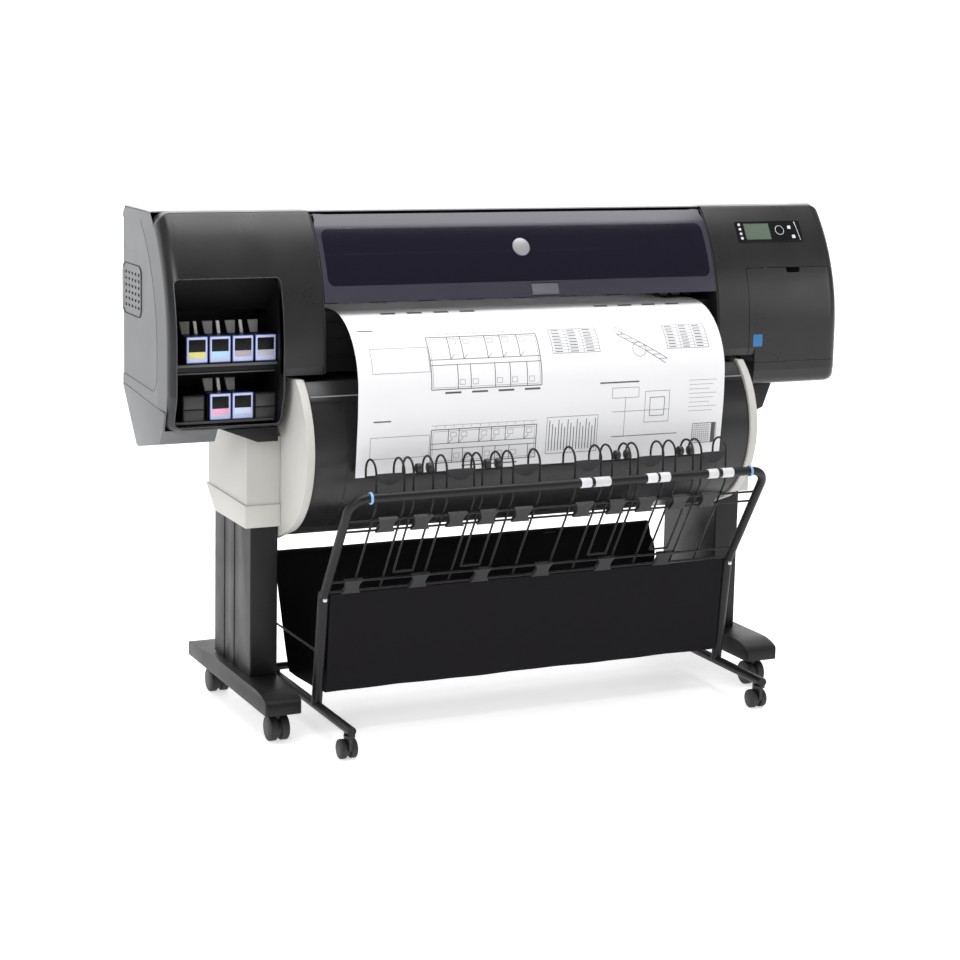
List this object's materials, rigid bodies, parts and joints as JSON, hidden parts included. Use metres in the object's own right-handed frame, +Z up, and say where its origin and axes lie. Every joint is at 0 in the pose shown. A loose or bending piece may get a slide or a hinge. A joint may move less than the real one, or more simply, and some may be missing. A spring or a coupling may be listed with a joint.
{
  "type": "large format plotter",
  "caption": "Large format inkjet plotter on a wheeled stand, with a tinted window, ink bay, control panel, roll module, guide frame and cloth bin.",
  "frame": {"origin": "on the floor, under the middle of the whole machine", "axes": "+Z up, -Y the front where the sheet comes out, +X towards the end with the control panel"},
  "size_m": [1.974, 0.82, 1.34],
  "materials": {
    "dark_plastic": "satin charcoal moulding",
    "grey_plastic": "satin mid grey moulding",
    "light_plastic": "fine textured warm light grey moulding",
    "silver_trim": "silvery painted moulding",
    "black_steel": "black powder coat",
    "zinc_steel": "zinc plated sheet",
    "ground_steel": "ground and polished",
    "tinted_window": "dark translucent gloss",
    "button_plastic": "satin",
    "display_glass": "gloss over a grey green screen",
    "cartridge_plastic": "lavender blue moulding",
    "black_plastic": "fine textured black moulding",
    "roller_rubber": "fine grit",
    "roll_paper": "matt white",
    "printed_paper": "matt white with a thin line drawing",
    "bag_fabric": "black woven cloth",
    "caster_plastic": "black nylon",
    "caster_tread": "soft tread"
  },
  "bodies": {
    "machine": {"chassis": "zinc_steel", "left_housing": "dark_plastic", "right_housing": "dark_plastic", "left_end_cover": "grey_plastic", "right_end_cover": "grey_plastic", "left_base_tray": "grey_plastic", "body_skirts": "black_plastic", "ink_bay": "black_plastic", "top_cover": "silver_trim", "rear_cover": "dark_plastic", "panel_bezel": "dark_plastic", "panel_display": "display_glass", "platen": "black_plastic", "carriage_rail": "ground_steel", "roll_module_ends": "light_plastic", "roll_cover": "dark_plastic", "columns": "black_steel", "column_caps": "light_plastic", "cross_beam": "black_steel", "feet": "black_steel", "stacker_legs": "black_steel", "stacker_top_frame": "black_steel", "stacker_guides": "black_steel", "bag_rear_frame": "black_steel", "catch_bag": "bag_fabric", "printed_sheet": "printed_paper"},
    "service_door": {"service_door": "dark_plastic"},
    "window": {"window": "tinted_window"},
    "window_latch": {"window_latch": "dark_plastic"},
    "carriage": {"carriage": "black_plastic", "print_heads": "dark_plastic"},
    "ink_cartridge_1": {"ink_cartridge_1": "cartridge_plastic"},
    "ink_cartridge_2": {"ink_cartridge_2": "cartridge_plastic"},
    "ink_cartridge_3": {"ink_cartridge_3": "cartridge_plastic"},
    "ink_cartridge_4": {"ink_cartridge_4": "cartridge_plastic"},
    "ink_cartridge_5": {"ink_cartridge_5": "cartridge_plastic"},
    "ink_cartridge_6": {"ink_cartridge_6": "cartridge_plastic"},
    "menu_button_1": {"menu_button_1": "button_plastic"},
    "menu_button_2": {"menu_button_2": "button_plastic"},
    "menu_button_3": {"menu_button_3": "button_plastic"},
    "menu_button_4": {"menu_button_4": "button_plastic"},
    "cursor_pad": {"cursor_pad": "button_plastic"},
    "back_button": {"back_button": "button_plastic"},
    "cancel_button": {"cancel_button": "button_plastic"},
    "feed_roller": {"feed_roller": "roller_rubber"},
    "pinch_rollers": {"pinch_rollers": "roller_rubber"},
    "upper_roll": {"upper_roll_spindle": "roll_paper"},
    "lower_roll": {"lower_roll_spindle": "roll_paper"},
    "front_left_caster": {"front_left_caster_body": "caster_plastic"},
    "front_left_caster_wheels": {"front_left_caster_wheels": "caster_tread"},
    "rear_left_caster": {"rear_left_caster_body": "caster_plastic"},
    "rear_left_caster_wheels": {"rear_left_caster_wheels": "caster_tread"},
    "bin_left_caster": {"bin_left_caster_body": "caster_plastic"},
    "bin_left_caster_wheels": {"bin_left_caster_wheels": "caster_tread"},
    "front_right_caster": {"front_right_caster_body": "caster_plastic"},
    "front_right_caster_wheels": {"front_right_caster_wheels": "caster_tread"},
    "rear_right_caster": {"rear_right_caster_body": "caster_plastic"},
    "rear_right_caster_wheels": {"rear_right_caster_wheels": "caster_tread"},
    "bin_right_caster": {"bin_right_caster_body": "caster_plastic"},
    "bin_right_caster_wheels": {"bin_right_caster_wheels": "caster_tread"}
  },
  "joints": [
    {"name": "service_door_hinge", "type": "hinge", "parent": "machine", "child": "service_door", "pos_m": [0.83, -0.1467, 0.914], "axis": [1, 0, 0], "range_deg": [0, 100]},
    {"name": "window_hinge", "type": "hinge", "parent": "machine", "child": "window", "pos_m": [0, -0.019, 1.327], "axis": [-1, 0, 0], "range_deg": [0, 72]},
    {"name": "window_latch_hinge", "type": "hinge", "parent": "window", "child": "window_latch", "pos_m": [0.05, -0.12325, 1.146], "axis": [-1, 0, 0], "range_deg": [0, 14], "stiffness_Nm_per_rad": 0.4},
    {"name": "carriage_slide", "type": "slide", "parent": "machine", "child": "carriage", "axis": [-1, 0, 0], "range_m": [-0.012, 1]},
    {"name": "ink_cartridge_1_slide", "type": "slide", "parent": "machine", "child": "ink_cartridge_1", "axis": [0, -1, 0], "range_m": [0, 0.16]},
    {"name": "ink_cartridge_2_slide", "type": "slide", "parent": "machine", "child": "ink_cartridge_2", "axis": [0, -1, 0], "range_m": [0, 0.16]},
    {"name": "ink_cartridge_3_slide", "type": "slide", "parent": "machine", "child": "ink_cartridge_3", "axis": [0, -1, 0], "range_m": [0, 0.16]},
    {"name": "ink_cartridge_4_slide", "type": "slide", "parent": "machine", "child": "ink_cartridge_4", "axis": [0, -1, 0], "range_m": [0, 0.16]},
    {"name": "ink_cartridge_5_slide", "type": "slide", "parent": "machine", "child": "ink_cartridge_5", "axis": [0, -1, 0], "range_m": [0, 0.16]},
    {"name": "ink_cartridge_6_slide", "type": "slide", "parent": "machine", "child": "ink_cartridge_6", "axis": [0, -1, 0], "range_m": [0, 0.16]},
    {"name": "menu_button_1_press", "type": "slide", "parent": "machine", "child": "menu_button_1", "axis": [0, 0.8559, -0.5172], "range_m": [0, 0.0015], "stiffness_N_per_m": 300},
    {"name": "menu_button_2_press", "type": "slide", "parent": "machine", "child": "menu_button_2", "axis": [0, 0.8559, -0.5172], "range_m": [0, 0.0015], "stiffness_N_per_m": 300},
    {"name": "menu_button_3_press", "type": "slide", "parent": "machine", "child": "menu_button_3", "axis": [0, 0.8559, -0.5172], "range_m": [0, 0.0015], "stiffness_N_per_m": 300},
    {"name": "menu_button_4_press", "type": "slide", "parent": "machine", "child": "menu_button_4", "axis": [0, 0.8559, -0.5172], "range_m": [0, 0.0015], "stiffness_N_per_m": 300},
    {"name": "cursor_pad_press", "type": "slide", "parent": "machine", "child": "cursor_pad", "axis": [0, 0.8559, -0.5172], "range_m": [0, 0.0015], "stiffness_N_per_m": 300},
    {"name": "back_button_press", "type": "slide", "parent": "machine", "child": "back_button", "axis": [0, 0.8559, -0.5172], "range_m": [0, 0.0015], "stiffness_N_per_m": 300},
    {"name": "cancel_button_press", "type": "slide", "parent": "machine", "child": "cancel_button", "axis": [0, 0.8559, -0.5172], "range_m": [0, 0.0015], "stiffness_N_per_m": 300},
    {"name": "feed_roller_spin", "type": "hinge", "parent": "machine", "child": "feed_roller", "pos_m": [0, 0.045, 1.076], "axis": [1, 0, 0], "continuous": true},
    {"name": "pinch_rollers_spin", "type": "hinge", "parent": "machine", "child": "pinch_rollers", "pos_m": [0, 0.045, 1.0998], "axis": [1, 0, 0], "continuous": true},
    {"name": "upper_roll_spin", "type": "hinge", "parent": "machine", "child": "upper_roll", "pos_m": [0, -0.086, 0.818], "axis": [1, 0, 0], "continuous": true},
    {"name": "lower_roll_spin", "type": "hinge", "parent": "machine", "child": "lower_roll", "pos_m": [0, -0.08, 0.652], "axis": [1, 0, 0], "continuous": true},
    {"name": "front_left_caster_swivel", "type": "hinge", "parent": "machine", "child": "front_left_caster", "pos_m": [-0.712, -0.155, 0.09], "axis": [0, 0, 1], "continuous": true},
    {"name": "front_left_caster_wheel_spin", "type": "hinge", "parent": "front_left_caster", "child": "front_left_caster_wheels", "pos_m": [-0.712, -0.175, 0.033], "axis": [1, 0, 0], "continuous": true},
    {"name": "rear_left_caster_swivel", "type": "hinge", "parent": "machine", "child": "rear_left_caster", "pos_m": [-0.712, 0.278, 0.09], "axis": [0, 0, 1], "continuous": true},
    {"name": "rear_left_caster_wheel_spin", "type": "hinge", "parent": "rear_left_caster", "child": "rear_left_caster_wheels", "pos_m": [-0.712, 0.298, 0.033], "axis": [1, 0, 0], "continuous": true},
    {"name": "bin_left_caster_swivel", "type": "hinge", "parent": "machine", "child": "bin_left_caster", "pos_m": [-0.6, -0.394, 0.07], "axis": [0, 0, 1], "continuous": true},
    {"name": "bin_left_caster_wheel_spin", "type": "hinge", "parent": "bin_left_caster", "child": "bin_left_caster_wheels", "pos_m": [-0.6, -0.378, 0.025], "axis": [1, 0, 0], "continuous": true},
    {"name": "front_right_caster_swivel", "type": "hinge", "parent": "machine", "child": "front_right_caster", "pos_m": [0.712, -0.155, 0.09], "axis": [0, 0, 1], "continuous": true},
    {"name": "front_right_caster_wheel_spin", "type": "hinge", "parent": "front_right_caster", "child": "front_right_caster_wheels", "pos_m": [0.712, -0.175, 0.033], "axis": [1, 0, 0], "continuous": true},
    {"name": "rear_right_caster_swivel", "type": "hinge", "parent": "machine", "child": "rear_right_caster", "pos_m": [0.712, 0.278, 0.09], "axis": [0, 0, 1], "continuous": true},
    {"name": "rear_right_caster_wheel_spin", "type": "hinge", "parent": "rear_right_caster", "child": "rear_right_caster_wheels", "pos_m": [0.712, 0.298, 0.033], "axis": [1, 0, 0], "continuous": true},
    {"name": "bin_right_caster_swivel", "type": "hinge", "parent": "machine", "child": "bin_right_caster", "pos_m": [0.6, -0.394, 0.07], "axis": [0, 0, 1], "continuous": true},
    {"name": "bin_right_caster_wheel_spin", "type": "hinge", "parent": "bin_right_caster", "child": "bin_right_caster_wheels", "pos_m": [0.6, -0.378, 0.025], "axis": [1, 0, 0], "continuous": true}
  ],
  "couplings": [
    {"joint": "pinch_rollers_spin", "follows": "feed_roller_spin", "ratio": -1.75}
  ]
}
